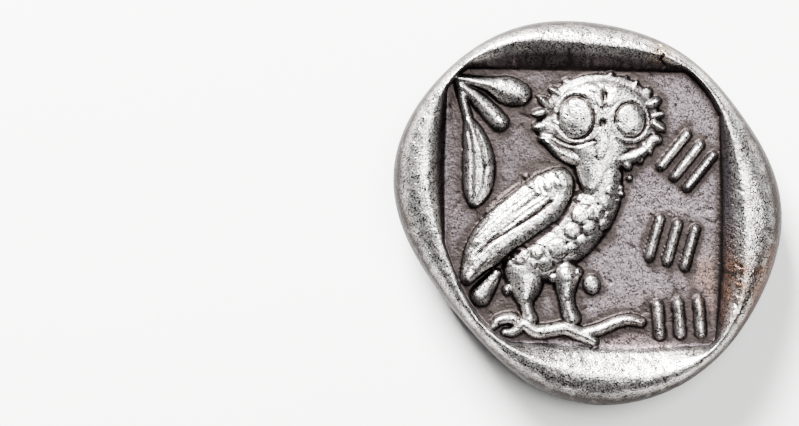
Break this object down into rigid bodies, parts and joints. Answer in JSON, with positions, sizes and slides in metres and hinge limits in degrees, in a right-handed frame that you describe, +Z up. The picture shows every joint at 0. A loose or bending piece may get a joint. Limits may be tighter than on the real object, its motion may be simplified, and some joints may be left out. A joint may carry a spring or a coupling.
{
  "type": "silver coin",
  "caption": "Thick hand-struck silver coin lying flat: an owl with an olive sprig in a sunk square above, a helmeted head in worn relief below.",
  "frame": {"origin": "centre of the coin's outline box, at the plane it rests on", "axes": "+Z up through the coin's thickness with the owl's side up; +Y towards the top of the owl's square; +X to its right"},
  "size_m": [0.015, 0.0148, 0.0033],
  "materials": {
    "silver": "worn struck silver, toned grey"
  },
  "bodies": {
    "root": {"drachm": "silver"}
  },
  "joints": []
}
